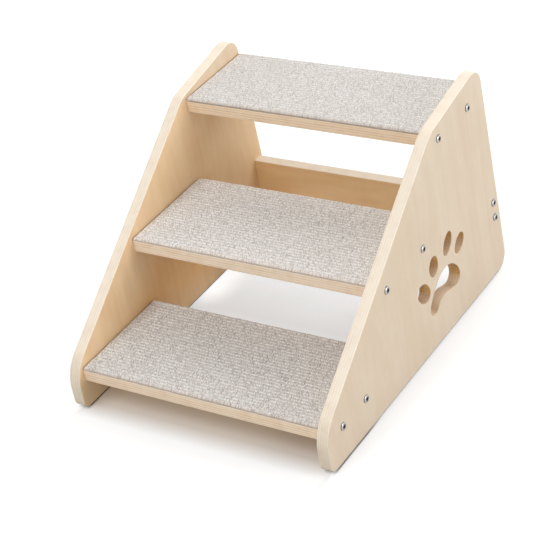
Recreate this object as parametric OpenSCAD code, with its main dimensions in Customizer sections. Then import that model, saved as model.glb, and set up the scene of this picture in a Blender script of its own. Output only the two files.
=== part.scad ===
// Three-step stairs for a small pet: two plywood side panels carry three carpeted treads and a back rail.
// X runs across the stairs, +Y to the back, +Z up. The origin is on the floor, under the middle of the box.

/* [Overall] */
// Width over the two side panels
stair_w = 430; // [360:1:520]
// Depth of the side panels, front to back
stair_d = 526; // [505:1:572]

/* [Side panels] */
// Thickness of the plywood, for the panels, the treads and the rail
ply_t = 18; // [15:0.5:20]
// Height of the upright front edge, measured as if its upper corner were sharp
toe_h = 66; // [60:1:72]
// Height at which the front slope meets the top slope
bend_h = 317; // [300:1:335]
// Length of the top slope, measured along the depth
top_run = 155; // [145:1:168]
// Rise of the top slope from the bend to the back edge
top_rise = 27; // [18:1:40]
// How much further back the heel stands than the top back corner
back_lean = 14; // [0:1:20]
// Corner radius at the front foot
foot_r = 13; // [6:1:18]
// Corner radius where the upright front edge meets the slope
toe_r = 58; // [40:1:64]
// Corner radius at the bend
bend_r = 60; // [30:5:90]
// Corner radius at the top back corner
peak_r = 24; // [12:1:30]
// Corner radius at the bottom back corner
heel_r = 24; // [15:1:38]
// Rounding of the panels' sharp edges
panel_ease = 1.6; // [0.8:0.1:1.9]

/* [Treads] */
// How far each tread's front edge lies behind the panels' front edge
tread_setback = 12; // [8:1:16]
// Height of the lower walking surface
lower_h = 68; // [62:1:80]
// Depth of the lower tread
lower_d = 177; // [150:1:200]
// Height of the middle walking surface
middle_h = 184; // [183:1:200]
// Depth of the middle tread
middle_d = 175; // [150:1:190]
// How far the upper walking surface lies below the bend
upper_drop = 3; // [1:0.5:8]
// Rounding along the treads' long edges
tread_ease = 1.2; // [0.6:0.1:2]

/* [Carpet] */
// Thickness of the looped pile
carpet_t = 5; // [3:0.5:6]
// Thickness of the dark backing that is glued to the tread
backing_t = 1; // [0.5:0.1:2]
// Gap between the carpet's ends and the side panels
carpet_gap = 1.5; // [0.5:0.5:4]
// Rounding of the carpet's upper front and back edges
carpet_ease = 1.8; // [1:0.1:2.4]

/* [Back rail] */
// Height of the rail board
rail_h = 68; // [55:1:80]
// Height of the rail's top edge above the floor
rail_top_h = 130; // [122:1:150]
// How far the rail's back face lies in front of the panels' back edge, at the rail's top
rail_inset = 5; // [2:1:9]

/* [Paw cut-out] */
// Width over the toes
paw_w = 142; // [110:1:150]
// Height of the whole paw
paw_h = 99; // [80:1:102]
// Distance from the panel's heel to the middle of the paw
paw_from_back = 187; // [177:1:202]
// Height of the lowest point of the paw above the floor
paw_floor_h = 53; // [40:1:58]

/* [Fasteners] */
// Diameter of the bolt's shank
bolt_d = 6; // [5:0.5:7]
// Length of the shank, from under the head to the tip
bolt_l = 60; // [58:1:66]
// Diameter of the low domed bolt head
head_d = 12; // [10:0.5:13]
// Height of the low domed bolt head
head_h = 2.2; // [1.6:0.1:4]
// Width across the flats of the hexagon socket
socket_w = 4; // [3:0.1:4.5]
// Depth of the hexagon socket
socket_deep = 1.9; // [1.2:0.1:2.4]
// Diameter of the barrel nut
nut_d = 10; // [9:0.5:11]
// Length of the barrel nut
nut_l = 12; // [10:0.5:12.5]
// Distance from a board's end to the middle of its barrel nuts
nut_inset = 34; // [28:1:35]
// Width of the screwdriver slot in a barrel nut
slot_w = 1.2; // [0.8:0.1:1.6]
// Depth of the screwdriver slot in a barrel nut
slot_deep = 1.4; // [1:0.1:1.8]
// From the lower tread's front edge to its first bolt
lower_bolt_inset = 27; // [16:1:34]
// Between the lower tread's two bolts
lower_bolt_pitch = 62; // [50:1:90]
// From the middle tread's front edge to its first bolt
middle_bolt_inset = 14; // [12:1:30]
// Between the middle tread's two bolts
middle_bolt_pitch = 104; // [80:1:110]
// From the upper tread's front edge to its first bolt
upper_bolt_inset = 12; // [11:1:24]
// Between the upper tread's two bolts
upper_bolt_pitch = 88; // [70:1:96]
// From the rail's top edge to its first bolt
rail_bolt_inset = 12; // [11:1:16]
// Between the rail's two bolts
rail_bolt_pitch = 25; // [20:1:28]

/* [Grip strips] */
// Thickness of the anti-slip strip under each panel
grip_t = 2; // [1:0.5:4]
// How far the strip lies inside the panel's two faces
grip_margin = 2; // [2:0.5:4]

/* [Fits] */
// Gap round a bolt in its hole through a side panel
panel_hole_fit = 0.3; // [0.2:0.1:0.6]
// Gap round a bolt in its long bore in a board's end
board_hole_fit = 0.5; // [0.3:0.1:0.8]
// Gap round a barrel nut in its bore
nut_fit = 0.2; // [0.1:0.05:0.4]
// Gap round a bolt in its barrel nut
thread_fit = 0.1; // [0.05:0.05:0.2]
// How far a long bore runs past the bolt's tip
tip_room = 3; // [2:0.5:5]

/* [Hidden] */
$fn = 48;

// Every cut runs this far past the face that it opens
overrun = 1;
// Degrees in a step of a rounded corner, and steps in the quarter round of an eased edge
corner_step = 6;
ease_steps = 3;
// Steps between two points of the pad's outline, and steps round a toe
pad_steps = 3;
toe_steps = 24;

board_l = stair_w - 2 * ply_t;
board_end_x = board_l / 2;
front_y = -stair_d / 2;
back_y = stair_d / 2;

// Depth at which the panels' front slope stands at a height, and the same for their leaning back edge
function slope_y(z) = front_y + max(0, (z - toe_h) * (stair_d - back_lean - top_run) / (bend_h - toe_h));
function back_edge_y(z) = back_y - back_lean * (z - grip_t) / (bend_h + top_rise - grip_t);

upper_h = bend_h - upper_drop;
cover_t = carpet_t + backing_t;
lower_y = slope_y(lower_h) + tread_setback;
middle_y = slope_y(middle_h) + tread_setback;
upper_y = slope_y(upper_h) + tread_setback;
upper_d = back_edge_y(upper_h) - upper_y;
rail_y = back_edge_y(rail_top_h) - rail_inset - ply_t;

// The side panel's corners as [depth, height] with a radius, from the foot round by the back
PANEL_CORNERS = [
    [[front_y, grip_t], foot_r],
    [[back_y, grip_t], heel_r],
    [[back_y - back_lean, bend_h + top_rise], peak_r],
    [[back_y - back_lean - top_run, bend_h], bend_r],
    [[front_y, toe_h], toe_r]];

// The big pad of the paw, from its front lobe along the waist underneath and back over the top.
// Along the depth they are shares of paw_w from the paw's middle, and upwards of paw_h from its lowest point.
PAD_SHARES = [
    [-0.31, 0.09], [-0.275, 0.02], [-0.2, 0.005], [-0.15, 0.055], [-0.1, 0.105], [-0.03, 0.13], [0.05, 0.13],
    [0.14, 0.1], [0.24, 0.07], [0.31, 0.11], [0.34, 0.21], [0.31, 0.335], [0.235, 0.45], [0.15, 0.515],
    [0.06, 0.53], [-0.04, 0.497], [-0.12, 0.43], [-0.19, 0.36], [-0.24, 0.29], [-0.295, 0.19]];
// The toes: middle along the depth and upwards as above, length and width as shares of paw_h, and the lean
TOE_SHARES = [
    [-0.386, 0.499, 0.405, 0.283, 138],
    [-0.144, 0.739, 0.32, 0.26, 78],
    [0.171, 0.846, 0.37, 0.226, 54],
    [0.398, 0.656, 0.337, 0.234, 40]];

// Share of a bolt head's height that its upright rim takes, and of its width that its flat top takes
head_rim_share = 0.2;
head_flat_share = 0.45;

// Middles of the bolts of one joint as [depth, height], the same on both sides
function tread_bolts(y, top, inset, pitch) =
    [for (k = [0, 1]) [y + inset + k * pitch, top - cover_t - ply_t / 2]];
lower_bolts = tread_bolts(lower_y, lower_h, lower_bolt_inset, lower_bolt_pitch);
middle_bolts = tread_bolts(middle_y, middle_h, middle_bolt_inset, middle_bolt_pitch);
upper_bolts = tread_bolts(upper_y, upper_h, upper_bolt_inset, upper_bolt_pitch);
rail_bolts = [for (k = [0, 1]) [rail_y + ply_t / 2, rail_top_h - rail_bolt_inset - k * rail_bolt_pitch]];

function unit(v) = v / norm(v);

// Points round one corner of a loop, where r is its radius and the loop is drawn in by an inset
function corner_arc(before, at, after, r, inset) =
    let (u = unit(before - at), v = unit(after - at))
    let (half = acos(u * v) / 2)
    let (centre = at + unit(u + v) * r / sin(half))
    let (turn = 180 - 2 * half, n = r > 0 ? ceil(turn / corner_step) : 0)
    let (first = atan2(u[0], -u[1]))
    [for (i = [0:n])
        let (a = first + turn * i / max(n, 1))
        centre + (r - inset) * [cos(a), sin(a)]];

// A loop through corners given as [point, radius], turning left all the way
function rounded_loop(corners, inset = 0) =
    let (m = len(corners))
    [for (i = [0:m - 1])
        each corner_arc(corners[(i + m - 1) % m][0], corners[i][0], corners[(i + 1) % m][0], corners[i][1], inset)];

// A rectangle in depth and height whose lower and upper corners have their own radii
function rounded_box(y, z, d, h, low_r, high_r) =
    rounded_loop([[[y, z], low_r], [[y + d, z], low_r], [[y + d, z + h], high_r], [[y, z + h], high_r]]);

// A closed smooth curve through all the points, with a number of steps between one and the next
function curve_point(a, b, c, d, t) =
    (2 * b + (c - a) * t + (2 * a - 5 * b + 4 * c - d) * t * t + (3 * b - a - 3 * c + d) * t * t * t) / 2;
function closed_curve(p, steps) =
    let (m = len(p))
    [for (i = [0:m - 1], s = [0:steps - 1])
        curve_point(p[(i + m - 1) % m], p[i], p[(i + 1) % m], p[(i + 2) % m], s / steps)];

// An ellipse about a point, with its long axis leaning from the level
function leaning_ellipse(at, long, wide, lean, steps) =
    [for (i = [0:steps - 1])
        let (u = long / 2 * cos(360 * i / steps), v = wide / 2 * sin(360 * i / steps))
        at + [u * cos(lean) - v * sin(lean), u * sin(lean) + v * cos(lean)]];

// Turns a drawing in depth and height upright and runs it along X, from x = 0
module along_x(length) {
    rotate([90, 0, 90])
        linear_extrude(length)
            children();
}

// A rod along X, from x = 0
module rod_x(d, length) {
    rotate([0, 90, 0])
        cylinder(d = d, h = length);
}

// Puts a copy of its children on the left side, seen from the front, with their X turned round
module left_side() {
    mirror([1, 0, 0])
        children();
}

// The side panel's slab with its eased edges, from its inner face outwards along X
module panel_slab() {
    quarter = [for (i = [0:ease_steps]) panel_ease * [1 - cos(90 * i / ease_steps), 1 - sin(90 * i / ease_steps)]];
    rings = concat(quarter, [for (i = [ease_steps:-1:0]) [ply_t - quarter[i][0], quarter[i][1]]]);
    n = len(rounded_loop(PANEL_CORNERS));
    m = len(rings);
    points = [for (ring = rings) for (p = rounded_loop(PANEL_CORNERS, ring[1])) [ring[0], p[0], p[1]]];
    sides = [for (k = [0:m - 2], i = [0:n - 1])
        [k * n + i, (k + 1) * n + i, (k + 1) * n + (i + 1) % n, k * n + (i + 1) % n]];
    inner_face = [for (i = [0:n - 1]) i];
    outer_face = [for (i = [n - 1:-1:0]) (m - 1) * n + i];
    polyhedron(points, concat([inner_face, outer_face], sides), convexity = 4);
}

// The paw, drawn in depth and height
module paw_outline() {
    middle = [back_y - paw_from_back, paw_floor_h];
    polygon(closed_curve([for (s = PAD_SHARES) middle + [s[0] * paw_w, s[1] * paw_h]], pad_steps));
    for (s = TOE_SHARES)
        polygon(leaning_ellipse(middle + [s[0] * paw_w, s[1] * paw_h], s[2] * paw_h, s[3] * paw_h, s[4], toe_steps));
}

// One side panel on the right, with its paw cut-out and a hole for every bolt
module side_panel() {
    difference() {
        translate([board_end_x, 0, 0])
            panel_slab();
        translate([board_end_x - overrun, 0, 0])
            along_x(ply_t + 2 * overrun)
                paw_outline();
        for (b = concat(lower_bolts, middle_bolts, upper_bolts, rail_bolts))
            translate([board_end_x - overrun, b[0], b[1]])
                rod_x(bolt_d + 2 * panel_hole_fit, ply_t + 2 * overrun);
    }
}

// Places its children at every bolt of a joint, with the board's end at x = 0 and X outwards
module at_bolts(bolts) {
    for (b = bolts)
        translate([board_end_x, b[0], b[1]])
            children();
}

// Turns a nut's axis, which is drawn along +Z, so that its slot looks out of the board's underside or its back
module nut_place(to_back) {
    translate([-nut_inset, 0, 0])
        rotate([to_back ? 90 : 0, 0, 0])
            children();
}

// What is drilled for one bolt: the long bore in the board's end and the bore of its barrel nut
module board_bore(to_back) {
    translate([ply_t - bolt_l - tip_room, 0, 0])
        rod_x(bolt_d + 2 * board_hole_fit, bolt_l - ply_t + tip_room + overrun);
    nut_place(to_back)
        translate([0, 0, -ply_t / 2 - overrun])
            cylinder(d = nut_d + 2 * nut_fit, h = ply_t / 2 + overrun + nut_l / 2 + nut_fit);
}

// The bores of a joint in both ends of its board
module board_bores(bolts, to_back) {
    at_bolts(bolts)
        board_bore(to_back);
    left_side()
        at_bolts(bolts)
            board_bore(to_back);
}

// A tread board, given its front edge, its depth and its walking height
module tread(y, d, top, bolts) {
    color("burlywood")
        difference() {
            translate([-board_end_x, 0, 0])
                along_x(board_l)
                    polygon(rounded_box(y, top - cover_t - ply_t, d, ply_t, tread_ease, tread_ease));
            board_bores(bolts, false);
        }
}

// A layer that covers a tread, between its end gaps
module cover(y, d, base, t, high_r) {
    translate([carpet_gap - board_end_x, 0, 0])
        along_x(board_l - 2 * carpet_gap)
            polygon(rounded_box(y, base, d, t, 0, high_r));
}

module backing(y, d, top) {
    color("dimgray")
        cover(y, d, top - cover_t, backing_t, 0);
}

module carpet(y, d, top) {
    color("silver")
        cover(y, d, top - carpet_t, carpet_t, carpet_ease);
}

// Profile of the low domed bolt head, from its flat underside at zero
function head_profile() =
    let (rim = head_h * head_rim_share, flat_r = head_d * head_flat_share / 2)
    concat([[0, 0], [head_d / 2, 0]],
        [for (a = [0:15:90]) [flat_r + (head_d / 2 - flat_r) * cos(a), rim + (head_h - rim) * sin(a)]],
        [[0, head_h]]);

// A bolt whose head stands on the plane x = 0 and whose shank points to -X
module bolt() {
    tip = bolt_d / 8;
    rotate([0, 90, 0])
        difference() {
            union() {
                rotate_extrude()
                    polygon(head_profile());
                translate([0, 0, tip - bolt_l])
                    cylinder(d = bolt_d, h = bolt_l - tip);
                translate([0, 0, -bolt_l])
                    cylinder(d1 = bolt_d - 2 * tip, d2 = bolt_d, h = tip);
            }
            translate([0, 0, head_h - socket_deep])
                cylinder(d = socket_w / cos(30), h = socket_deep + overrun, $fn = 6);
        }
}

// The bolts of one joint on the right, with their heads on the panel's outer face
module joint_bolts(bolts) {
    color("gainsboro")
        translate([ply_t, 0, 0])
            at_bolts(bolts)
                bolt();
}

// The barrel nuts of one joint on the right, each with its cross bore and its slot
module joint_nuts(bolts, to_back) {
    color("darkgray")
        at_bolts(bolts)
            difference() {
                nut_place(to_back)
                    difference() {
                        translate([0, 0, -nut_l / 2])
                            cylinder(d = nut_d, h = nut_l);
                        translate([-slot_w / 2, -nut_d, -nut_l / 2 - overrun])
                            cube([slot_w, 2 * nut_d, slot_deep + overrun]);
                    }
                translate([-nut_inset - nut_d, 0, 0])
                    rod_x(bolt_d + 2 * thread_fit, 2 * nut_d);
            }
}

module right_panel() {
    color("wheat")
        side_panel();
}

module left_panel() {
    color("wheat")
        left_side()
            side_panel();
}

module lower_tread() {
    tread(lower_y, lower_d, lower_h, lower_bolts);
}

module middle_tread() {
    tread(middle_y, middle_d, middle_h, middle_bolts);
}

module upper_tread() {
    tread(upper_y, upper_d, upper_h, upper_bolts);
}

module back_rail() {
    color("burlywood")
        difference() {
            translate([-board_end_x, 0, 0])
                along_x(board_l)
                    polygon(rounded_box(rail_y, rail_top_h - rail_h, ply_t, rail_h, tread_ease, tread_ease));
            board_bores(rail_bolts, true);
        }
}

module lower_backing() {
    backing(lower_y, lower_d, lower_h);
}

module middle_backing() {
    backing(middle_y, middle_d, middle_h);
}

module upper_backing() {
    backing(upper_y, upper_d, upper_h);
}

module lower_carpet() {
    carpet(lower_y, lower_d, lower_h);
}

module middle_carpet() {
    carpet(middle_y, middle_d, middle_h);
}

module upper_carpet() {
    carpet(upper_y, upper_d, upper_h);
}

// The strip under the flat of one panel, between its two bottom corners
module right_grip_strip() {
    color("darkslategray")
        translate([board_end_x + grip_margin, front_y + foot_r, 0])
            cube([ply_t - 2 * grip_margin, stair_d - foot_r - heel_r, grip_t]);
}

module left_grip_strip() {
    left_side()
        right_grip_strip();
}

left_panel();
right_panel();
lower_tread();
middle_tread();
upper_tread();
back_rail();
lower_backing();
middle_backing();
upper_backing();
lower_carpet();
middle_carpet();
upper_carpet();
left_grip_strip();
right_grip_strip();
joint_bolts(lower_bolts);  // lower_bolts_right
joint_bolts(middle_bolts);  // middle_bolts_right
joint_bolts(upper_bolts);  // upper_bolts_right
joint_bolts(rail_bolts);  // rail_bolts_right
left_side() joint_bolts(lower_bolts);  // lower_bolts_left
left_side() joint_bolts(middle_bolts);  // middle_bolts_left
left_side() joint_bolts(upper_bolts);  // upper_bolts_left
left_side() joint_bolts(rail_bolts);  // rail_bolts_left
joint_nuts(lower_bolts, false);  // lower_nuts_right
joint_nuts(middle_bolts, false);  // middle_nuts_right
joint_nuts(upper_bolts, false);  // upper_nuts_right
joint_nuts(rail_bolts, true);  // rail_nuts_right
left_side() joint_nuts(lower_bolts, false);  // lower_nuts_left
left_side() joint_nuts(middle_bolts, false);  // middle_nuts_left
left_side() joint_nuts(upper_bolts, false);  // upper_nuts_left
left_side() joint_nuts(rail_bolts, true);  // rail_nuts_left
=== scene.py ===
"""Three-step plywood pet stairs with looped carpet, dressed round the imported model. Lengths are in metres."""

import bpy
import numpy as np
from mathutils import Matrix, Vector


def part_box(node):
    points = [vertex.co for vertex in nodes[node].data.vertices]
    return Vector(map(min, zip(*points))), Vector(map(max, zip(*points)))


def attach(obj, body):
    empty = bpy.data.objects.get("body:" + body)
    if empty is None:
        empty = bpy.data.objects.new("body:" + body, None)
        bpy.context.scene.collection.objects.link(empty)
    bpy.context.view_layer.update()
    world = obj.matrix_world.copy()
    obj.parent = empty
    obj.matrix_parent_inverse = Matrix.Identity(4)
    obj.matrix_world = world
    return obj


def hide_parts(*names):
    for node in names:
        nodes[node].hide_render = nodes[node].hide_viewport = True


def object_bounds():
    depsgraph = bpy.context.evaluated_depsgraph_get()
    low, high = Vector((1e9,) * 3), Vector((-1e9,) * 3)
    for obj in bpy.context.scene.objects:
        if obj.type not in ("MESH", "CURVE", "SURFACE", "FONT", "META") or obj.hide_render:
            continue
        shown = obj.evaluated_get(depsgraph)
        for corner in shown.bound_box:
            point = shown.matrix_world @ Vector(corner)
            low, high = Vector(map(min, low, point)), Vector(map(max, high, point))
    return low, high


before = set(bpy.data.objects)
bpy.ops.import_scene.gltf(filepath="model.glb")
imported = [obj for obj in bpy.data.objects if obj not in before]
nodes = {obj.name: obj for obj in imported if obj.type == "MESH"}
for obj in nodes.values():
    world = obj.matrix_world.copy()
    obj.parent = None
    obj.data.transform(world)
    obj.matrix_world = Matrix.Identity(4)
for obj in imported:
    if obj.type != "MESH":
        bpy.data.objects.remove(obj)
cad_box = [list(c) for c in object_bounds()]
scene = bpy.context.scene
MM = 0.001
X, Y, Z = 0, 1, 2

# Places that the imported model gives
LOWER_TREAD, MIDDLE_TREAD, UPPER_TREAD = (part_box(kind + "_tread") for kind in ("lower", "middle", "upper"))
PANEL_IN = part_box("right_panel")[0][X]
PANEL_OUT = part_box("right_panel")[1][X]
FRONT = cad_box[0][Y]
TOP_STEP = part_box("upper_carpet")[1][Z]
# How far the panels' front slope runs back for each metre that it rises, as the treads' front edges do
SLOPE = (UPPER_TREAD[0][Y] - LOWER_TREAD[0][Y]) / (UPPER_TREAD[1][Z] - LOWER_TREAD[1][Z])
# How far the treads' front edges lie behind the slope
SETBACK = 20.7 * MM

# Camera, as fitted to the object's outline in the photo: its place, its axes and its lens in millimetres
CAMERA_AT = (1.2991, -1.68823, 1.47074)
CAMERA_RIGHT = (0.835749, 0.522452, -0.169019)
CAMERA_UP = (-0.166783, 0.534784, 0.828366)
CAMERA_BACK = (0.52317, -0.664116, 0.534081)
LENS = 118.7367
SENSOR = 36
FARTHEST = 50

camera_data = bpy.data.cameras.new("camera")
camera_data.sensor_width = SENSOR
camera_data.lens = LENS
camera_data.clip_end = FARTHEST
camera = bpy.data.objects.new("camera", camera_data)
scene.collection.objects.link(camera)
axes = [Vector(v).normalized() for v in (CAMERA_RIGHT, CAMERA_UP, CAMERA_BACK)]
camera.matrix_world = Matrix.Translation(CAMERA_AT) @ Matrix(axes).transposed().to_4x4()
scene.camera = camera


# Node helpers
class Graph:
    """Short hand for building the nodes of one material or world."""

    def __init__(self, owner, output="ShaderNodeOutputMaterial"):
        self.owner = owner
        self.owner.use_nodes = True
        self.tree = self.owner.node_tree
        self.tree.nodes.clear()
        self.output = self.add(output)

    def add(self, kind, inputs=None, **settings):
        node = self.tree.nodes.new(kind)
        for key, value in settings.items():
            setattr(node, key, value)
        for key, value in (inputs or {}).items():
            self.put(node.inputs[key], value)
        return node

    def put(self, socket, value):
        if isinstance(value, bpy.types.NodeSocket):
            self.tree.links.new(value, socket)
        elif isinstance(value, bpy.types.Node):
            self.tree.links.new(value.outputs[0], socket)
        elif hasattr(value, "__len__") and len(value) == 3 and len(socket.default_value) == 4:
            socket.default_value = (*value, 1)
        else:
            socket.default_value = value

    def math(self, operation, a, b=0.0, clamp=False):
        return self.add("ShaderNodeMath", {0: a, 1: b}, operation=operation, use_clamp=clamp).outputs[0]

    def product(self, *terms):
        result = terms[0]
        for term in terms[1:]:
            result = self.math("MULTIPLY", result, term)
        return result

    def cells(self, value, start, size):
        """The number of the cell that a value falls in."""
        return self.math("FLOOR", self.math("DIVIDE", self.math("SUBTRACT", value, start), size))

    def mix(self, factor, a, b, blend="MIX"):
        node = self.add("ShaderNodeMix", data_type="RGBA", blend_type=blend)
        self.put(node.inputs[0], factor)
        self.put(node.inputs[6], a)
        self.put(node.inputs[7], b)
        return node.outputs[2]

    def span(self, value, low, high, to_low=0.0, to_high=1.0, smooth=True):
        """Runs from to_low at low to to_high at high. low may be the larger of the two."""
        kind = "SMOOTHSTEP" if smooth else "LINEAR"
        inputs = {0: value, 1: low, 2: high, 3: to_low, 4: to_high}
        return self.add("ShaderNodeMapRange", inputs, interpolation_type=kind).outputs[0]

    def noise(self, vector, scale, detail=2.0, roughness=0.5, distortion=0.0):
        inputs = {"Vector": vector, "Scale": scale, "Detail": detail}
        inputs.update(Roughness=roughness, Distortion=distortion)
        return self.add("ShaderNodeTexNoise", inputs, noise_dimensions="3D").outputs[0]

    def scaled(self, vector, scale=(1, 1, 1), shift=(0, 0, 0)):
        return self.add("ShaderNodeMapping", {0: vector, 1: shift, 3: scale}).outputs[0]

    def place(self):
        return self.add("ShaderNodeTexCoord").outputs["Object"]

    def normal(self):
        return self.add("ShaderNodeTexCoord").outputs["Normal"]

    def axis(self, vector, index):
        return self.add("ShaderNodeSeparateXYZ", {0: vector}).outputs[index]

    def bump(self, height, strength, distance):
        inputs = {"Height": height, "Strength": strength, "Distance": distance}
        return self.add("ShaderNodeBump", inputs).outputs[0]

    def seen(self):
        """1 for what the camera, gloss and transmission see, and 0 for what lights the object."""
        path = self.add("ShaderNodeLightPath")
        either = self.math("MAXIMUM", path.outputs["Is Camera Ray"], path.outputs["Is Glossy Ray"])
        return self.math("MAXIMUM", either, path.outputs["Is Transmission Ray"])

    def close(self, shader):
        self.tree.links.new(shader.outputs[0], self.output.inputs[0])
        return self.owner

    def surface(self, **inputs):
        names = {k.replace("_", " "): v for k, v in inputs.items()}
        return self.close(self.add("ShaderNodeBsdfPrincipled", names))


def new_graph(name):
    return Graph(bpy.data.materials.new(name))


def dress(material, *names):
    for name in names:
        data = nodes[name].data
        data.materials.clear()
        data.materials.append(material)


# Wood
PLY = 18 * MM
PLIES = 9
# Pairs of a light and a dark tone
PALE_FACE = ((0.688, 0.576, 0.443), (0.593, 0.463, 0.324))
# Painted warm bounce light: the faces that look in between the panels, and the treads' faces, are warmer than
# the outer ones
WARM_FACE = ((0.87, 0.655, 0.415), (0.715, 0.46, 0.215))
# Painted shade and warm bounce light: the rail's front, under the treads, is darker and warmer than its back
RAIL_SHADED_FRONT = ((0.97, 0.71, 0.41), (0.77, 0.465, 0.20))
RAIL_BACK = ((0.78, 0.63, 0.46), (0.67, 0.50, 0.33))
PANEL_EDGE = ((0.789, 0.703, 0.584), (0.631, 0.492, 0.351))
BOARD_EDGE = ((0.771, 0.63, 0.483), (0.611, 0.44, 0.287))
# The paw's walls: burnt wood, golden with painted warm bounce light, and paler with painted light where they
# face up
CUT_BURNT_BOUNCE = ((0.78, 0.50, 0.22), (0.42, 0.225, 0.075))
CUT_PAINTED_LIGHT = ((0.93, 0.76, 0.58), (0.63, 0.455, 0.31))
PORE = (0.45, 0.32, 0.21)
PINK = (1.0, 0.955, 0.985)
# Painted shade: a golden tint far in under the treads
UNDER_TREAD_SHADE = (1.0, 0.87, 0.67)
NEAR_FLOOR_SHADE = (0.88, 0.86, 0.83)
# Noise drawn out along the grain: by how much, then scale, detail, roughness and distortion
FIGURE = (0.16, 26, 4, 0.6, 0.9)
STREAKS = (0.028, 190, 3, 0.6, 0.25)
PORES = (0.12, 620, 1, 0.5, 0.0)
BLUSH = (0.12, 30, 2, 0.5, 0.0)
# Noise that is the same in all directions: scale, detail and roughness
CLOUDS = (17, 3, 0.55)
WAVER = (24, 2, 0.5)
SMEAR = (60, 2, 0.5)
GRAIN = (480, 3, 0.6)
# How dark a dark ply is: the least, and what chance adds
PLY_LEAST, PLY_MORE = 0.14, 0.26
# How much the lines between the plies waver, as a share of the board's thickness
WAVERING = 0.014
# A box round the paw in Y and Z, from its lowest to its highest corner
PAW_LOW = (10 * MM, 35 * MM)
PAW_HIGH = (160 * MM, 165 * MM)


def drawn(g, place, along, shift, kind):
    """A noise that is drawn out along the grain."""
    stretch = [1.0, 1.0, 1.0]
    stretch[along] = kind[0]
    return g.noise(g.scaled(place, stretch, shift), *kind[1:])


def under_treads(g, place):
    """Where painted shade tints a panel: 1 far in under the middle tread, and less under the upper one, where
    little light reaches it.
    """
    y, z = g.axis(place, Y), g.axis(place, Z)
    start = LOWER_TREAD[0][Y] - SLOPE * LOWER_TREAD[1][Z] - SETBACK
    inset = g.math("SUBTRACT", g.math("SUBTRACT", y, start), g.math("MULTIPLY", z, SLOPE))
    ceiling, back = MIDDLE_TREAD[0][Z], MIDDLE_TREAD[1][Y]
    in_height = g.product(g.span(z, 0.0, 60 * MM), g.span(z, ceiling + 25 * MM, ceiling + 5 * MM))
    in_depth = g.product(g.span(y, back + 48 * MM, back - 2 * MM), g.span(inset, 70 * MM, 190 * MM))
    ceiling = UPPER_TREAD[0][Z]
    high_part = g.span(z, ceiling - 75 * MM, ceiling - 10 * MM, 0.0, 0.45)
    high_part = g.product(high_part, g.span(inset, 60 * MM, 170 * MM))
    return g.math("MAXIMUM", g.product(in_height, in_depth), high_part)


def veneer(g, place, along, seed, shift, light, dark):
    """Soft figure, fine streaks and short pores. Returns the colour, the height and the roughness."""
    figure = drawn(g, place, along, shift, FIGURE)
    streaks = drawn(g, place, along, shift, STREAKS)
    pores = g.span(drawn(g, place, along, shift, PORES), 0.68, 0.80)
    clouds = g.noise(g.scaled(place, shift=shift), *CLOUDS)
    amount = g.math("ADD", g.span(figure, 0.30, 0.72, 0.0, 0.30), g.span(streaks, 0.35, 0.75, 0.0, 0.10))
    amount = g.math("ADD", amount, g.span(clouds, 0.30, 0.70, 0.0, 0.20), clamp=True)
    colour = g.mix(amount, light, dark)
    # Some of the broad streaks are pinker, as rotary cut birch is
    blush = drawn(g, place, along, (seed * 3.1, seed, seed * 0.4), BLUSH)
    colour = g.mix(g.span(blush, 0.45, 0.7, 0.0, 0.5), colour, PINK, "MULTIPLY")
    colour = g.mix(g.math("MULTIPLY", pores, 0.14), colour, PORE)
    height = g.math("SUBTRACT", g.math("MULTIPLY", streaks, 0.6), g.math("MULTIPLY", pores, 0.5))
    roughness = g.span(streaks, 0.2, 0.8, 0.42, 0.54)
    return colour, height, roughness


def cut_edge(g, place, across, start, seed, smear, grain, lines):
    """How dark a cut edge is. Its plies are stacked across, and every other one shows its end grain."""
    depth = g.math("DIVIDE", g.math("SUBTRACT", g.axis(place, across), start), PLY)
    waver = g.math("MULTIPLY", g.math("SUBTRACT", g.noise(place, *WAVER), 0.5), WAVERING)
    ply = g.math("MULTIPLY", g.math("ADD", depth, waver), PLIES)
    part = g.math("FRACT", g.math("MULTIPLY", ply, 0.5))
    dark_ply = g.product(g.span(part, 0.44, 0.54), g.span(part, 1.0, 0.92))
    number = g.math("ADD", g.math("FLOOR", ply), seed * 13.0)
    own = g.add("ShaderNodeTexWhiteNoise", {"W": number}, noise_dimensions="1D").outputs[0]
    strength = g.math("ADD", g.math("MULTIPLY", own, PLY_MORE * lines), PLY_LEAST * lines)
    mixed = g.product(dark_ply, strength, g.span(smear, 0.2, 0.6, 0.55, 1.0))
    mixed = g.math("ADD", mixed, g.span(grain, 0.4, 0.75, 0.0, 0.10))
    return g.math("ADD", mixed, g.span(smear, 0.40, 0.75, 0.0, 0.20), clamp=True)


def panel_edge(g, place, normal, edge, mixed, smear, lower_walls):
    """A panel's rim carries painted shade, a little greyer near the floor, and the walls of its paw are burnt,
    with painted light and warm bounce set by which way they face.
    """
    y, z = g.axis(place, Y), g.axis(place, Z)
    # Painted shade: the rim darkens towards the floor
    edge = g.mix(g.span(z, 110 * MM, 30 * MM), edge, NEAR_FLOOR_SHADE, "MULTIPLY")
    above = [g.math("GREATER_THAN", v, limit) for v, limit in zip((y, z), PAW_LOW)]
    below = [g.math("LESS_THAN", v, limit) for v, limit in zip((y, z), PAW_HIGH)]
    burnt = g.math("ADD", g.math("MULTIPLY", mixed, 1.5), g.span(smear, 0.3, 0.7, 0.0, 0.16), clamp=True)
    # Painted light: walls that face up take the lower walls' tones, and the others the golden tones of painted
    # warm bounce
    faces_up = g.span(g.axis(normal, Z), 0.1, 1.0)
    walls = g.mix(faces_up, g.mix(burnt, *CUT_BURNT_BOUNCE), g.mix(burnt, *lower_walls))
    return g.mix(g.product(*above, *below), edge, walls)


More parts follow.
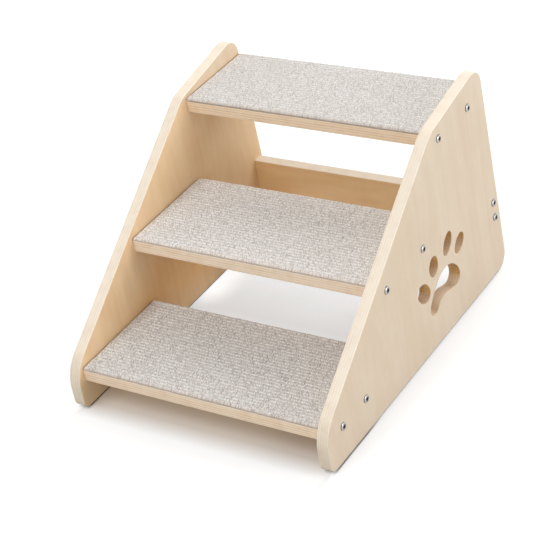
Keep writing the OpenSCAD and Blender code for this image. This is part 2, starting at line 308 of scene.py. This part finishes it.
def wood(name, across, along, start, seed, face, rim, lines=1.0, inner=None, inner_sign=0, lower_walls=None):
    """Birch plywood. across is the axis of its thickness, and along that of its grain.

    The first ply begins at start. inner gives the tones of the face that looks to inner_sign, and lower_walls
    those low in a panel's paw.
    """
    g = new_graph(name)
    place, normal = g.place(), g.normal()
    outward = g.axis(normal, across)
    shift = (seed * 1.7, seed * 0.9, seed * 2.3)
    light, dark = face
    if inner:
        # Painted warm bounce light: the face that looks inward takes the warmer inner tones
        is_inner = g.span(g.math("MULTIPLY", outward, inner_sign), 0.0, 0.5)
        # The painted warm bounce light fades at the top of a panel, over the treads, which is as pale inside as
        # out
        top = g.span(g.axis(place, Z), TOP_STEP - 14 * MM, TOP_STEP + 8 * MM, 1.0, 0.25)
        is_inner = g.product(is_inner, top)
        light, dark = (g.mix(is_inner, face[k], inner[k]) for k in (0, 1))
    if lower_walls:
        # Painted shade: the inner faces turn more golden far in under the treads
        painted_shade = g.product(under_treads(g, place), is_inner)
        light, dark = (g.mix(painted_shade, tone, UNDER_TREAD_SHADE, "MULTIPLY") for tone in (light, dark))
    face_colour, face_height, roughness = veneer(g, place, along, seed, shift, light, dark)

    smear = g.noise(g.scaled(place, shift=shift), *SMEAR)
    grain = g.noise(g.scaled(place, shift=shift), *GRAIN)
    mixed = cut_edge(g, place, across, start, seed, smear, grain, lines)
    edge = g.mix(mixed, *rim)
    if lower_walls:
        edge = panel_edge(g, place, normal, edge, mixed, smear, lower_walls)

    is_face = g.span(g.math("ABSOLUTE", outward), 0.80, 0.96)
    colour = g.mix(is_face, edge, face_colour)
    bumpy = g.bump(g.mix(is_face, mixed, face_height), 0.16, 0.3 * MM)
    return g.surface(Base_Color=colour, Roughness=roughness, Normal=bumpy, Specular_IOR_Level=0.30)


# Side, where its inner face looks, seed, and the walls low in its paw. Only the right paw's walls there are
# paler with painted light
PANELS = (
    ("right", -1, 1.0, CUT_PAINTED_LIGHT),
    ("left", 1, 5.3, CUT_BURNT_BOUNCE),
)
for side, sign, seed, walls in PANELS:
    panel = side + "_panel"
    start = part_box(panel)[0][X]
    birch = wood("birch_" + side, X, Z, start, seed, PALE_FACE, PANEL_EDGE, 1.0, WARM_FACE, sign, walls)
    dress(birch, panel)

# Tread, seed, tone of its edges, and how strong the lines of its plies are
TREADS = (
    ("lower_tread", 9.1, (1.06, 1.06, 1.05), 1.9),
    ("middle_tread", 12.8, (1.055, 1.075, 1.10), 1.9),
    ("upper_tread", 16.5, (0.98, 0.945, 0.90), 2.3),
)
for tread, seed, tone, lines in TREADS:
    edge = [[t * c for t, c in zip(tone, colour)] for colour in BOARD_EDGE]
    dress(wood("birch_" + tread, Z, X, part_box(tread)[0][Z], seed, WARM_FACE, edge, lines), tread)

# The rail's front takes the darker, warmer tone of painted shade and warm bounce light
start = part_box("back_rail")[0][Y]
dress(wood("birch_rail", Y, X, start, 23.0, RAIL_BACK, PANEL_EDGE, 1.0, RAIL_SHADED_FRONT, -1), "back_rail")

# Metal and rubber
BOLT_STEEL = (0.49, 0.49, 0.48)
NUT_STEEL = (0.56, 0.56, 0.55)
PAINTED_STEEL_SHADE = (0.10, 0.09, 0.08)
# Heights over the seat of a bolt's head, between which painted shade darkens the socket's floor and the rim
# round the socket
SOCKET_FLOOR = (0.9 * MM, 0.5 * MM)
SOCKET_RIM = (1.95 * MM, 2.15 * MM)
# Pairs of a worn and a fresh tone
FELT = ((0.72, 0.61, 0.50), (0.59, 0.50, 0.40))
# Painted shade: a darker copy of the felt for the shadow line under the upper carpet
SHADED_FELT = ((0.44, 0.35, 0.28), (0.32, 0.255, 0.20))
GRIP = ((0.075, 0.075, 0.078), (0.035, 0.035, 0.038))


def steel(name, colour, roughness, seed, seat=None):
    """Zinc plated steel. A bolt's head, over its seat, has painted shade on its steep walls and in its socket.
    """
    g = new_graph(name)
    place = g.place()
    brushed = g.noise(g.scaled(place, shift=(seed, seed, seed)), 900, 3, 0.6)
    dull = g.noise(place, 160, 2, 0.5)
    shade = g.mix(g.span(dull, 0.4, 0.75, 0.0, 0.30), colour, [c * 0.62 for c in colour])
    if seat:
        out = g.math("ABSOLUTE", g.axis(g.normal(), X))
        rise = g.math("SUBTRACT", g.math("ABSOLUTE", g.axis(place, X)), seat)
        floor_part = g.product(g.span(rise, *SOCKET_FLOOR), g.span(out, 0.8, 0.95))
        socket = g.math("MAXIMUM", floor_part, g.span(rise, *SOCKET_RIM, 0.0, 0.8))
        # Painted shade on the head's steep walls and in its socket
        shade = g.mix(g.math("MAXIMUM", socket, g.span(out, 0.80, 0.40)), shade, PAINTED_STEEL_SHADE)
    rough = g.math("ADD", roughness, g.math("MULTIPLY", brushed, 0.16))
    return g.surface(Base_Color=shade, Metallic=1.0, Roughness=rough, Normal=g.bump(brushed, 0.12, 0.1 * MM))


def rubber(name, tones, scale, seed):
    g = new_graph(name)
    place = g.scaled(g.place(), shift=(seed, 0, seed))
    grain = g.noise(place, scale, 3, 0.6)
    wear = g.noise(place, scale * 0.12, 2, 0.5)
    worn, fresh = tones
    shade = g.mix(g.span(wear, 0.35, 0.7), fresh, worn)
    roughness = g.span(grain, 0.2, 0.8, 0.72, 0.92)
    return g.surface(Base_Color=shade, Roughness=roughness, Normal=g.bump(grain, 0.35, 0.3 * MM))


bolts = [n for n in nodes if "_bolts_" in n]
nuts = [n for n in nodes if "_nuts_" in n]
dress(steel("zinc_bolt", BOLT_STEEL, 0.30, 0.0, PANEL_OUT), *bolts)
dress(steel("zinc_nut", NUT_STEEL, 0.38, 4.0), *nuts)
dress(rubber("backing_felt", FELT, 900, 1.0), "lower_backing", "middle_backing")
# The upper backing takes the darker felt as painted shade
dress(rubber("backing_felt_shaded", SHADED_FELT, 900, 1.0), "upper_backing")
dress(rubber("grip_rubber", GRIP, 700, 2.0), "left_grip_strip", "right_grip_strip")

# Carpet
ROW = 3.05 * MM
LOOP = 2.7 * MM
STRAND = 1.0 * MM
PER_ROW, PER_LOOP = 3, 3
LOOP_TALL = 1.3 * MM
LOOP_ROUND = 0.6
# A loop's height as a share of LOOP_TALL: the least, what chance adds, the low rows' and the rim's
LOOP_LEAST, LOOP_MORE, LOW_ROW, TRIMMED = 0.86, 0.18, 0.60, 0.62
# How close the loops stand in their rows, in the field and in the rows by the rim
LOOSE, PACKED = 0.35, 0.80
LEAN_X, LEAN_Y = 0.32 * MM, 0.22 * MM
# The height of the sheet's slow waves, and how fast they run from one point to the next
WAVE = 0.12 * MM
WAVE_U, WAVE_V = 0.11, 0.07
RIPPLE = 0.25 * MM
# How much the sheet's last points and the ones before them drop
LAST_DROP, NEXT_DROP = 0.9 * MM, 0.25 * MM
# How far the sheet stays inside the carpet's sides, and how far down its skirt is widest
LIP = 0.45 * MM
WIDEST = 2.6 * MM
# A rim point that leans no further in than this is carried out by the skirt, and its foot by a little less
RIM_BAND = 1.6 * LIP
SKIRT_FOOT = 0.8 * LIP
YARN = ((0.74, 0.70, 0.665), (0.85, 0.815, 0.785))
PALE_STRAND = (0.96, 0.94, 0.915)
DARK_STRAND = (0.27, 0.235, 0.21)
GROOVE_SHADE = (0.46, 0.415, 0.38)
BETWEEN = (0.50, 0.46, 0.425)
BEIGE = (0.66, 0.60, 0.535)
RIM_SHADE = (0.57, 0.44, 0.34)
GROUND = (0.60, 0.56, 0.525)


def carpet_material(name, top, corner, pitch, seed, tone, speck):
    """Heather loop pile. corner is where the first loop starts, pitch the size of a loop along X and Y."""
    g = new_graph(name)
    place = g.place()
    x, y, z = (g.axis(place, k) for k in (X, Y, Z))
    low_row = g.math("MODULO", g.cells(y, corner[Y], pitch[Y]), 2.0)
    # Each strand has its own tone. Over the rim the strands run on down the side
    run = g.math("ADD", y, g.math("SUBTRACT", top, z))
    cell = {0: g.cells(x, 0.0, STRAND), 1: g.cells(run, corner[Y], pitch[Y] / 2), 2: seed}
    cell = g.add("ShaderNodeCombineXYZ", cell)
    own = g.add("ShaderNodeTexWhiteNoise", {"Vector": cell}, noise_dimensions="3D").outputs[0]
    strands = g.noise(g.scaled(place, (0.7, 1, 1)), 900, 2, 0.7)
    heather = g.noise(g.scaled(place, (0.7, 1, 1), (seed, 0, 0)), 430, 3, 0.7)
    patches = g.noise(g.scaled(place, shift=(0, seed, 0)), 24, 2, 0.5)
    yarn = g.mix(g.span(heather, 0.34, 0.66), *YARN)
    yarn = g.mix(g.span(own, 0.50, 1.0, 0.0, 0.62, smooth=False), yarn, PALE_STRAND)
    yarn = g.mix(g.span(own, 0.45, 0.0, 0.0, speck, smooth=False), yarn, DARK_STRAND)
    # Painted shade: the low rows between the ribs are darker
    yarn = g.mix(g.math("MULTIPLY", low_row, 0.33), yarn, GROOVE_SHADE)
    yarn = g.mix(g.span(strands, 0.46, 0.62, 0.0, 0.30), yarn, BETWEEN)
    yarn = g.mix(g.span(patches, 0.35, 0.7, 0.0, 0.10), yarn, BEIGE)
    # Painted shade: the front rim is a little darker, and so is the side below it
    side = g.span(z, top - 1.3 * MM, top - 2.5 * MM, 0.0, 0.42)
    front = g.span(y, corner[Y] + 3 * MM, corner[Y], 0.0, 0.42)
    yarn = g.mix(g.math("MAXIMUM", side, front), yarn, RIM_SHADE)
    pile = g.mix(g.span(z, top - 4.8 * MM, top - 3.6 * MM), GROUND, yarn)
    shade = g.mix(1.0, pile, (tone, tone, tone), "MULTIPLY")
    bumpy = g.bump(strands, 0.4, 0.4 * MM)
    return g.surface(Base_Color=shade, Roughness=0.95, Normal=bumpy, Specular_IOR_Level=0.10)


def loop_field(low, high, seed):
    """The carpet's upper side, as a grid of points in rows of leaning loops."""
    rng = np.random.default_rng(seed)
    wide, deep = high[X] - low[X], high[Y] - low[Y]
    loops, rows = round(wide / LOOP), round(deep / ROW)
    nu, nv = loops * PER_LOOP, rows * PER_ROW
    u, v = np.meshgrid(np.arange(nu + 1), np.arange(nv + 1), indexing="ij")
    row = np.minimum(v // PER_ROW, rows - 1)
    shifted = u + (row % 2) * (PER_LOOP // 2)
    column = shifted // PER_LOOP
    bulge_u = np.sin(np.pi * (shifted % PER_LOOP) / PER_LOOP) ** LOOP_ROUND
    bulge_v = np.sin(np.pi * np.where(v == nv, 1.0, (v % PER_ROW) / PER_ROW)) ** LOOP_ROUND
    # The first and last two rows are packed close, so that the rim runs straight
    close = np.where(np.minimum(v, nv - v) <= 2 * PER_ROW, PACKED, LOOSE)
    hump = np.maximum(bulge_u * bulge_v, close * bulge_v)
    tall = LOOP_LEAST + LOOP_MORE * rng.random((loops + 2, rows))
    tall *= np.where(np.arange(rows) % 2, LOW_ROW, 1.0)
    # The rim's own loops are trimmed low
    tall[:, [0, -1]] = TRIMMED
    tall[[0, 1, -2, -1], :] = TRIMMED
    lean_x = rng.normal(0, LEAN_X, (loops + 2, rows))
    lean_y = rng.normal(0, LEAN_Y, (loops + 2, rows))
    x = low[X] + LIP + u / nu * (wide - 2 * LIP) + lean_x[column, row] * hump
    y = low[Y] + LIP + v / nv * (deep - 2 * LIP) + lean_y[column, row] * hump
    wave = WAVE * np.sin(u * WAVE_U + seed) * np.sin(v * WAVE_V + 2 * seed)
    z = high[Z] - LOOP_TALL + LOOP_TALL * hump * tall[column, row] + wave
    to_rim = np.minimum.reduce([v, nv - v, u, nu - u])
    z = z - np.where(to_rim == 0, LAST_DROP, np.where(to_rim == 1, NEXT_DROP, 0))
    return np.stack([x, y, z], -1), ((wide - 2 * LIP) / loops, (deep - 2 * LIP) / rows)


def carpet_mesh(name, low, high, field):
    """The loops, with a skirt round the rim that runs out to the carpet's side and down to the backing."""
    top = field.reshape(-1, 3)
    index = np.arange(len(top)).reshape(field.shape[:2])
    quads = np.stack([index[:-1, :-1], index[1:, :-1], index[1:, 1:], index[:-1, 1:]], -1).reshape(-1, 4)
    rim = np.concatenate([index[:, 0], index[-1, 1:], index[-2::-1, -1], index[0, -2:0:-1]])
    ring = np.arange(len(rim))
    after = (ring + 1) % len(rim)
    centre = [(low[k] + high[k]) / 2 for k in (X, Y)]
    reach = [(high[k] - low[k]) / 2 - RIM_BAND for k in (X, Y)]
    offset = top[rim, :2] - centre
    out = np.sign(offset) * (np.abs(offset) > reach)
    middle, lowest = top[rim].copy(), top[rim].copy()
    middle[:, :2] += out * (LIP + RIPPLE * np.sin(ring * np.pi / 2)[:, None])
    middle[:, 2] = high[Z] - WIDEST
    lowest[:, :2] += out * SKIRT_FOOT
    lowest[:, 2] = low[Z]
    middle_ring = len(top) + ring
    lowest_ring = middle_ring + len(rim)
    faces = quads.tolist()
    for upper, lower in ((rim, middle_ring), (middle_ring, lowest_ring)):
        faces += np.stack([upper[after], upper, lower, lower[after]], -1).tolist()
    faces.append(lowest_ring[::-1].tolist())
    mesh = bpy.data.meshes.new(name)
    mesh.from_pydata(np.concatenate([top, middle, lowest]).tolist(), [], faces)
    mesh.validate()
    mesh.update()
    mesh.polygons.foreach_set("use_smooth", [True] * (len(mesh.polygons) - 1) + [False])
    return mesh


def carpet(kind, seed, tone, speck):
    low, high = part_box(kind + "_carpet")
    field, pitch = loop_field(low, high, seed)
    mesh = carpet_mesh("carpet_" + kind, low, high, field)
    corner = (low[X] + LIP, low[Y] + LIP)
    pile = carpet_material("loop_carpet_" + kind, high[Z], corner, pitch, float(seed), tone, speck)
    mesh.materials.append(pile)
    piece = bpy.data.objects.new("carpet_" + kind, mesh)
    scene.collection.objects.link(piece)
    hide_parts(kind + "_carpet")
    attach(piece, "root")


# Carpet, seed, tone and strength of its dark specks. The middle one is the palest
CARPETS = (
    ("lower", 3, 0.885, 0.92),
    ("middle", 4, 0.97, 0.80),
    ("upper", 5, 0.86, 0.66),
)
for kind, seed, tone, speck in CARPETS:
    carpet(kind, seed, tone, speck)

# Floor
FLOOR_HALF = 6.0
FLOOR_DROP = 0.2 * MM
FLOOR_COLOUR = (0.50, 0.50, 0.50)
GLOW_UNDER = (0.25, 0.25, 0.25)
GLOW_FRONT = (0.18, 0.125, 0.075)
GLOW_CORNER = (0.14, 0.09, 0.05)
GLOW_MIDDLE = (0.33, 0.35, 0.37)
GLOW_BACK = (0.56, 0.60, 0.63)
GLOW_OUT = (0.50, 0.50, 0.50)
GLOW_RIGHT = (0.44, 0.443, 0.447)
GLOW_SIDE = (0.74, 0.77, 0.80)
WHITE = (1, 1, 1)
BLACK = (0, 0, 0)
# Stretches of the floor, from where one glow ends to where the next is full: along Y between the panels
MIDDLE_Y = (-240 * MM, 10 * MM)
BACK_Y = (20 * MM, 110 * MM)
FRONT_Y = (-100 * MM, -190 * MM)
SIDE_Y = (0.0, 70 * MM)
# Along X between the panels, to the left side and to the two front corners
SIDE_X = (-140 * MM, -PANEL_IN + 2 * MM)
RIGHT_CORNER_X = (50 * MM, 150 * MM)
LEFT_CORNER_X = (-160 * MM, -PANEL_IN + 12 * MM)
# Out to the sides, the front and the back, and the duller stretch of painted shade at the right
OUT_X = (PANEL_IN + 6 * MM, PANEL_IN + 15 * MM)
OUT_FRONT_Y = (FRONT + 22 * MM, FRONT - 12 * MM)
OUT_BACK_Y = (260 * MM, 300 * MM)
RIGHT_X = (200 * MM, 210 * MM)
RIGHT_END_X = (310 * MM, 225 * MM)
RIGHT_END_Y = (290 * MM, 150 * MM)
WHITE_AT = (0.45, 1.4)
# The painted contact shadow, a dark line under a foot, which is bare on the left panel's inner side
FOOT_IN = (PANEL_IN - 0.5 * MM, PANEL_IN + 2 * MM)
FOOT_OUT = (PANEL_OUT + 1.1 * MM, PANEL_OUT - 0.1 * MM)
FOOT_ENDS = (-FRONT - 1 * MM, -FRONT - 18 * MM)
FOOT_NARROWS_Y = (-120 * MM, 120 * MM)
FOOT_NARROWS = 0.7 * MM
BARE_X = (-PANEL_IN - 6.5 * MM, -PANEL_IN - 5 * MM)
BARE_Y = (-170 * MM, -120 * MM)


def floor_glow(g, place):
    """What the floor shows of itself, which is less where the object shades it: painted shadow."""
    x, y = g.axis(place, X), g.axis(place, Y)
    wide = g.math("ABSOLUTE", x)
    # Painted shade and light: between the panels it is weaker and cooler, and rises towards the back and the
    # left side
    under = g.mix(g.span(y, *MIDDLE_Y, smooth=False), GLOW_UNDER, GLOW_MIDDLE)
    under = g.mix(g.span(y, *BACK_Y, smooth=False), under, GLOW_BACK)
    under = g.mix(g.product(g.span(x, *SIDE_X), g.span(y, *SIDE_Y)), under, GLOW_SIDE)
    # Painted shadow: under the front of the lower tread it is dim and warm, most of all in the corners
    corners = g.math("MAXIMUM", g.span(x, *RIGHT_CORNER_X), g.span(x, *LEFT_CORNER_X))
    under = g.mix(g.span(y, *FRONT_Y), under, g.mix(corners, GLOW_FRONT, GLOW_CORNER))
    right = g.product(g.span(x, *RIGHT_X), g.span(x, *RIGHT_END_X), g.span(y, *RIGHT_END_Y))
    outside = g.math("MAXIMUM", g.span(wide, *OUT_X), g.span(y, *OUT_FRONT_Y, smooth=False))
    outside = g.math("MAXIMUM", outside, g.span(y, *OUT_BACK_Y))
    glow = g.mix(outside, under, g.mix(right, GLOW_OUT, GLOW_RIGHT))
    far = g.add("ShaderNodeVectorMath", {0: place}, operation="LENGTH").outputs["Value"]
    glow = g.mix(g.span(far, *WHITE_AT), glow, WHITE)
    # A painted contact shadow: a foot's line on the floor stays dark
    trim = g.math("SUBTRACT", wide, g.span(y, *FOOT_NARROWS_Y, 0.0, FOOT_NARROWS))
    foot = g.product(g.span(wide, *FOOT_IN), g.span(trim, *FOOT_OUT))
    bare = g.product(g.span(x, *BARE_X), g.span(y, *BARE_Y))
    ends = g.span(g.math("ABSOLUTE", y), *FOOT_ENDS)
    return g.mix(g.product(foot, g.math("SUBTRACT", 1.0, bare), ends), glow, BLACK)


floor_mesh = bpy.data.meshes.new("floor")
corners = [(sx * FLOOR_HALF, sy * FLOOR_HALF, -FLOOR_DROP) for sx, sy in ((-1, -1), (1, -1), (1, 1), (-1, 1))]
floor_mesh.from_pydata(corners, [], [(0, 1, 2, 3)])
floor = bpy.data.objects.new("floor", floor_mesh)
scene.collection.objects.link(floor)
g = new_graph("floor_white")
matt = g.add("ShaderNodeBsdfDiffuse", {"Color": FLOOR_COLOUR})
glow = g.add("ShaderNodeEmission", {"Color": floor_glow(g, g.place()), "Strength": g.seen()})
floor_mesh.materials.append(g.close(g.add("ShaderNodeAddShader", {0: matt, 1: glow})))

# World: a plain white sky, which shows as white
HORIZON = 0.53
ZENITH = 0.377
g = Graph(bpy.data.worlds.new("world"), "ShaderNodeOutputWorld")
up = g.axis(g.add("ShaderNodeTexCoord").outputs["Generated"], Z)
strength = g.span(up, 0.0, 1.0, HORIZON, ZENITH, smooth=False)
dome = g.add("ShaderNodeBackground", {"Color": WHITE, "Strength": strength})
plain = g.add("ShaderNodeBackground", {"Color": WHITE, "Strength": 1.0})
scene.world = g.close(g.add("ShaderNodeMixShader", {0: g.seen(), 1: dome, 2: plain}))

# Lamps: name, place, width of the disk and power
LAMPS = (
    ("back_high", (0.3, 1.9, 2.4), 1.5, 18.3),
    ("back_low", (0.3, 2.4, 1.7), 0.9, 27.0),
    ("front_high", (-0.4, -1.6, 2.6), 1.6, 43.0),
    ("front_low", (0.9, -2.8, 1.2), 1.6, 13.0),
    ("right_low", (2.8, 0.3, 0.8), 1.0, 34.0),
    ("left_low", (-2.8, 0.2, 0.8), 1.0, 20.0),
)
LAMPS_TO = (0, 0, 0.15)
for name, at, size, power in LAMPS:
    data = bpy.data.lights.new(name, "AREA")
    data.shape = "DISK"
    data.size = size
    data.energy = power
    lamp = bpy.data.objects.new(name, data)
    scene.collection.objects.link(lamp)
    lamp.location = at
    lamp.rotation_euler = (Vector(LAMPS_TO) - Vector(at)).to_track_quat("-Z", "Y").to_euler()

scene.view_settings.view_transform = "Standard"
